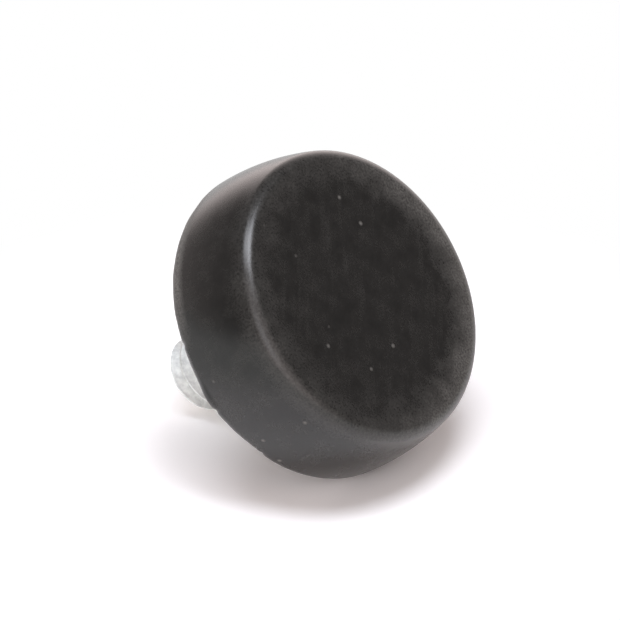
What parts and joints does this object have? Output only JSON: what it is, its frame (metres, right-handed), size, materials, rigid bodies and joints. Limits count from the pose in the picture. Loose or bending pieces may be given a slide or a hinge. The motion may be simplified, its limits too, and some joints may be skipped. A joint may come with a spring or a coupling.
{
  "type": "rubber foot",
  "caption": "Tapered round rubber foot with a bowed side, rounded edges and a moulded-in threaded steel stud that screws into the base of an instrument.",
  "frame": {"origin": "centre of the flat floor face that stands on the bench", "axes": "+Z along the stud, from the floor face up into whatever the foot is screwed to; the part is round about Z, so +X and +Y are free apart from the hidden head's flats"},
  "size_m": [0.0254, 0.0254, 0.0207],
  "materials": {
    "black_rubber": "matte moulded, slightly dusty",
    "zinc_steel": "bright zinc plate, rolled thread"
  },
  "bodies": {
    "root": {"rubber_body": "black_rubber", "stud": "zinc_steel"}
  },
  "joints": []
}
